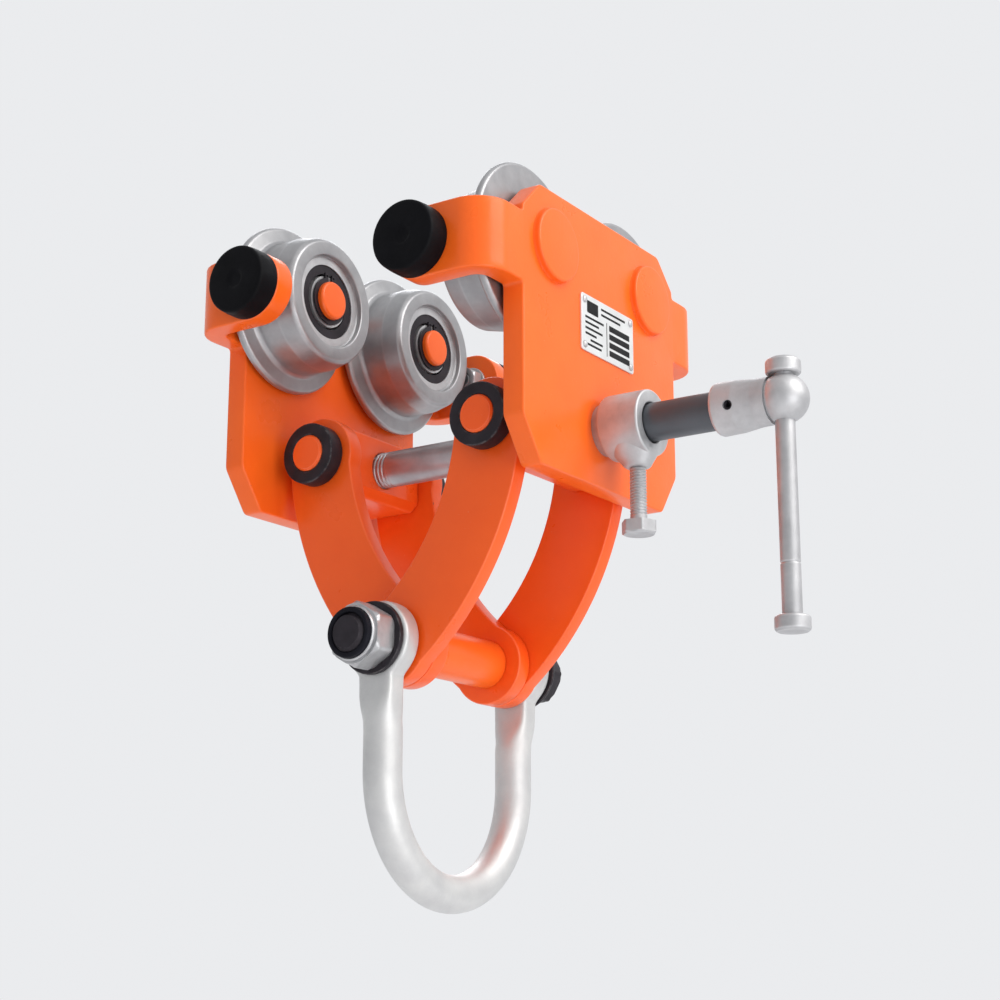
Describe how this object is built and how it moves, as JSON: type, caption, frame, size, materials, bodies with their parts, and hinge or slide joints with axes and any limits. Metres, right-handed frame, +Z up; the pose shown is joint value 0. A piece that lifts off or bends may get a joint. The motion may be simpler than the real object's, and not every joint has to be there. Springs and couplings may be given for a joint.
{
  "type": "trolley beam clamp",
  "caption": "Wheeled beam clamp: side plates with flanged wheels grip an I-beam flange, a spindle sets the gap, curved arms carry a load bolt with a bow shackle.",
  "frame": {"origin": "beam web plane, middle of the side plates along the beam, on the level of the wheel treads where they rest on the flange", "axes": "+X across the beam towards the spindle handle, +Y along the beam, +Z up"},
  "size_m": [0.2762, 0.196, 0.3033],
  "materials": {
    "orange paint": "gloss",
    "zinc steel": "satin",
    "black oxide": "satin",
    "spindle steel": "satin",
    "bearing steel": "polished",
    "rubber": "matte",
    "nylon": "matte"
  },
  "bodies": {
    "load_pin": {"load_bolt": "black oxide", "load_nut": "zinc steel", "nut_insert": "nylon", "load_washer": "black oxide", "spacer_tube": "orange paint"},
    "shackle_body": {"shackle": "zinc steel"},
    "right_arms": {"right_arm_front": "orange paint", "right_arm_rear": "orange paint"},
    "left_arms": {"left_arm_front": "orange paint", "left_arm_rear": "orange paint"},
    "right_side": {"right_plate": "orange paint", "right_trunnion": "orange paint", "right_retainers": "black oxide", "right_axle_front": "orange paint", "right_axle_rear": "orange paint", "right_axle_clips": "black oxide", "right_inner_rings": "bearing steel", "right_buffer_front": "rubber", "right_buffer_rear": "rubber", "right_buffer_nuts": "zinc steel", "nameplate": "zinc steel", "nameplate_rivets": "zinc steel", "lock_collar": "zinc steel"},
    "left_side": {"left_plate": "orange paint", "left_trunnion": "orange paint", "left_retainers": "black oxide", "left_axle_front": "orange paint", "left_axle_rear": "orange paint", "left_axle_clips": "black oxide", "left_inner_rings": "bearing steel", "left_buffer_front": "rubber", "left_buffer_rear": "rubber", "left_buffer_nuts": "zinc steel"},
    "lock_screw": {"lock_bolt": "zinc steel"},
    "spindle_stop": {"stop_washer": "zinc steel"},
    "spindle_unit": {"spindle": "spindle steel", "spindle_clip": "black oxide", "handle_hub": "zinc steel", "hub_pin": "black oxide"},
    "tommy_unit": {"tommy_bar": "zinc steel", "tommy_cap_top": "zinc steel", "tommy_cap_bottom": "zinc steel"},
    "right_front_wheel": {"right_wheel_front": "zinc steel", "right_ring_front": "bearing steel", "right_seal_front": "black oxide"},
    "right_rear_wheel": {"right_wheel_rear": "zinc steel", "right_ring_rear": "bearing steel", "right_seal_rear": "black oxide"},
    "left_front_wheel": {"left_wheel_front": "zinc steel", "left_ring_front": "bearing steel", "left_seal_front": "black oxide"},
    "left_rear_wheel": {"left_wheel_rear": "zinc steel", "left_ring_rear": "bearing steel", "left_seal_rear": "black oxide"}
  },
  "joints": [
    {"name": "spindle_turn", "type": "hinge", "parent": "spindle_stop", "child": "spindle_unit", "pos_m": [0, 0, -0.0395], "axis": [1, 0, 0], "range_deg": [-1445, 1805]},
    {"name": "right_arm_swing", "type": "hinge", "parent": "load_pin", "child": "right_arms", "pos_m": [0, 0, -0.1275], "axis": [0, 1, 0], "range_deg": [-10.42, 13.02]},
    {"name": "left_arm_swing", "type": "hinge", "parent": "load_pin", "child": "left_arms", "pos_m": [0, 0, -0.1275], "axis": [0, -1, 0], "range_deg": [-10.44, 13.04]},
    {"name": "right_side_level", "type": "hinge", "parent": "right_arms", "child": "right_side", "pos_m": [0.0475, 0, -0.0395], "axis": [0, -1, 0], "range_deg": [-10.44, 13.04]},
    {"name": "left_side_level", "type": "hinge", "parent": "left_arms", "child": "left_side", "pos_m": [-0.0475, 0, -0.0395], "axis": [0, 1, 0], "range_deg": [-10.44, 13.04]},
    {"name": "spindle_travel", "type": "slide", "parent": "right_side", "child": "spindle_stop", "axis": [-1, 0, 0], "range_m": [-0.0161, 0.0201]},
    {"name": "shackle_swing", "type": "hinge", "parent": "load_pin", "child": "shackle_body", "pos_m": [0, 0, -0.1275], "axis": [0, 1, 0], "range_deg": [-60, 60]},
    {"name": "tommy_slide", "type": "slide", "parent": "spindle_unit", "child": "tommy_unit", "axis": [0, 0, 1], "range_m": [0, 0.0765]},
    {"name": "lock_screw_travel", "type": "slide", "parent": "right_side", "child": "lock_screw", "axis": [0, 0, -1], "range_m": [0, 0.005]},
    {"name": "right_front_wheel_spin", "type": "hinge", "parent": "right_side", "child": "right_front_wheel", "pos_m": [0.05, -0.039, 0.03], "axis": [1, 0, 0], "continuous": true},
    {"name": "right_rear_wheel_spin", "type": "hinge", "parent": "right_side", "child": "right_rear_wheel", "pos_m": [0.05, 0.039, 0.03], "axis": [1, 0, 0], "continuous": true},
    {"name": "left_front_wheel_spin", "type": "hinge", "parent": "left_side", "child": "left_front_wheel", "pos_m": [-0.05, -0.039, 0.03], "axis": [1, 0, 0], "continuous": true},
    {"name": "left_rear_wheel_spin", "type": "hinge", "parent": "left_side", "child": "left_rear_wheel", "pos_m": [-0.05, 0.039, 0.03], "axis": [1, 0, 0], "continuous": true}
  ],
  "couplings": [
    {"joint": "left_arm_swing", "follows": "right_arm_swing", "ratio": 1},
    {"joint": "right_side_level", "follows": "right_arm_swing", "ratio": 1},
    {"joint": "left_side_level", "follows": "right_arm_swing", "ratio": 1},
    {"joint": "spindle_turn", "follows": "right_arm_swing", "ratio": 138.23},
    {"joint": "spindle_travel", "follows": "right_arm_swing", "m_per_rad": 0.087999}
  ]
}
